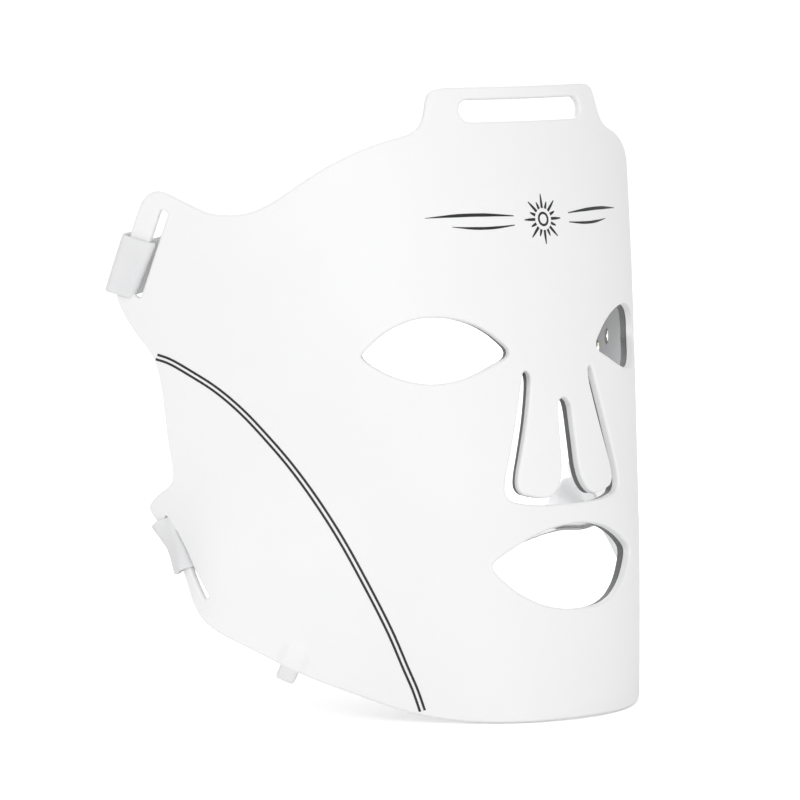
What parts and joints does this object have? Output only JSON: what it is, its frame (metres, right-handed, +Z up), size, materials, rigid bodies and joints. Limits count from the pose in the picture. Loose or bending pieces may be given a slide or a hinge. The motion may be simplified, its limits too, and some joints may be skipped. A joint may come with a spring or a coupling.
{
  "type": "led face mask",
  "caption": "Flexible light-therapy face mask: bent sheet with eye, nose and mouth openings, LED rows inside, hinged side arms and nose flaps, and straps round the slots.",
  "frame": {"origin": "middle of the bounding box's bottom face, below the chin line", "axes": "+Z up from chin to forehead, -Y the way the wearer looks, +X to the wearer's left"},
  "size_m": [0.2214, 0.1224, 0.2068],
  "materials": {
    "silicone_white": "satin",
    "liner_grey": "matte",
    "flex_film": "satin",
    "led_row": "gloss",
    "strap_band": "matte",
    "fastener": "matte",
    "port_metal": "gloss"
  },
  "bodies": {
    "front": {"outer_shell_front": "silicone_white", "inner_liner_front": "liner_grey", "flex_circuit_front": "flex_film", "led_row_chin": "led_row", "led_row_forehead_inner_l": "led_row", "led_row_forehead_middle_l": "led_row", "led_row_forehead_outer_l": "led_row", "led_row_cheek_inner_l": "led_row", "led_row_cheek_outer_l": "led_row", "led_row_forehead_inner_r": "led_row", "led_row_forehead_middle_r": "led_row", "led_row_forehead_outer_r": "led_row", "led_row_cheek_inner_r": "led_row", "led_row_cheek_outer_r": "led_row"},
    "wing_l": {"outer_shell_wing_l": "silicone_white", "inner_liner_wing_l": "liner_grey", "flex_circuit_wing_l": "flex_film", "led_row_wing_front_l": "led_row", "led_row_wing_rear_l": "led_row"},
    "nose_flap_l": {"nose_flap_l": "silicone_white", "nose_flap_liner_l": "liner_grey", "led_row_nose_flap_l": "led_row"},
    "wing_r": {"outer_shell_wing_r": "silicone_white", "inner_liner_wing_r": "liner_grey", "flex_circuit_wing_r": "flex_film", "led_row_wing_front_r": "led_row", "led_row_wing_rear_r": "led_row", "power_port_housing": "silicone_white", "power_port_sleeve": "port_metal", "power_port_pin": "port_metal"},
    "nose_flap_r": {"nose_flap_r": "silicone_white", "nose_flap_liner_r": "liner_grey", "led_row_nose_flap_r": "led_row"},
    "upper_strap_l": {"upper_strap_l": "strap_band", "upper_hook_patch": "fastener"},
    "upper_strap_r": {"upper_strap_r": "strap_band", "upper_loop_patch": "fastener"},
    "lower_strap_l": {"lower_strap_l": "strap_band", "lower_hook_patch": "fastener"},
    "lower_strap_r": {"lower_strap_r": "strap_band", "lower_loop_patch": "fastener"}
  },
  "joints": [
    {"name": "wing_l_flex", "type": "hinge", "parent": "front", "child": "wing_l", "pos_m": [0.07373, -0.00332, 0.08904], "axis": [-0.0968, -0.1566, -0.9829], "range_deg": [-8, 16]},
    {"name": "wing_r_flex", "type": "hinge", "parent": "front", "child": "wing_r", "pos_m": [-0.07373, -0.00332, 0.08904], "axis": [-0.0968, 0.1566, 0.9829], "range_deg": [-8, 16]},
    {"name": "upper_strap_l_pivot", "type": "hinge", "parent": "wing_l", "child": "upper_strap_l", "pos_m": [0.10404, 0.04801, 0.14991], "axis": [-0.0968, -0.1566, -0.9829], "range_deg": [-16, 8]},
    {"name": "upper_strap_r_pivot", "type": "hinge", "parent": "wing_r", "child": "upper_strap_r", "pos_m": [-0.10404, 0.04801, 0.14991], "axis": [-0.0968, 0.1566, 0.9829], "range_deg": [-16, 8]},
    {"name": "lower_strap_l_pivot", "type": "hinge", "parent": "wing_l", "child": "lower_strap_l", "pos_m": [0.09543, 0.03462, 0.05355], "axis": [-0.0968, -0.1566, -0.9829], "range_deg": [-16, 8]},
    {"name": "lower_strap_r_pivot", "type": "hinge", "parent": "wing_r", "child": "lower_strap_r", "pos_m": [-0.09543, 0.03462, 0.05355], "axis": [-0.0968, 0.1566, 0.9829], "range_deg": [-16, 8]},
    {"name": "nose_flap_l_bend", "type": "hinge", "parent": "front", "child": "nose_flap_l", "pos_m": [0.00782, -0.04634, 0.10793], "axis": [-0.707, -0.1778, -0.6845], "range_deg": [-5, 30]},
    {"name": "nose_flap_r_bend", "type": "hinge", "parent": "front", "child": "nose_flap_r", "pos_m": [-0.00782, -0.04634, 0.10793], "axis": [-0.707, 0.1778, 0.6845], "range_deg": [-5, 30]}
  ],
  "couplings": [
    {"joint": "wing_r_flex", "follows": "wing_l_flex", "ratio": 1},
    {"joint": "upper_strap_l_pivot", "follows": "wing_l_flex", "ratio": -1},
    {"joint": "upper_strap_r_pivot", "follows": "wing_l_flex", "ratio": -1},
    {"joint": "lower_strap_l_pivot", "follows": "wing_l_flex", "ratio": -1},
    {"joint": "lower_strap_r_pivot", "follows": "wing_l_flex", "ratio": -1}
  ]
}
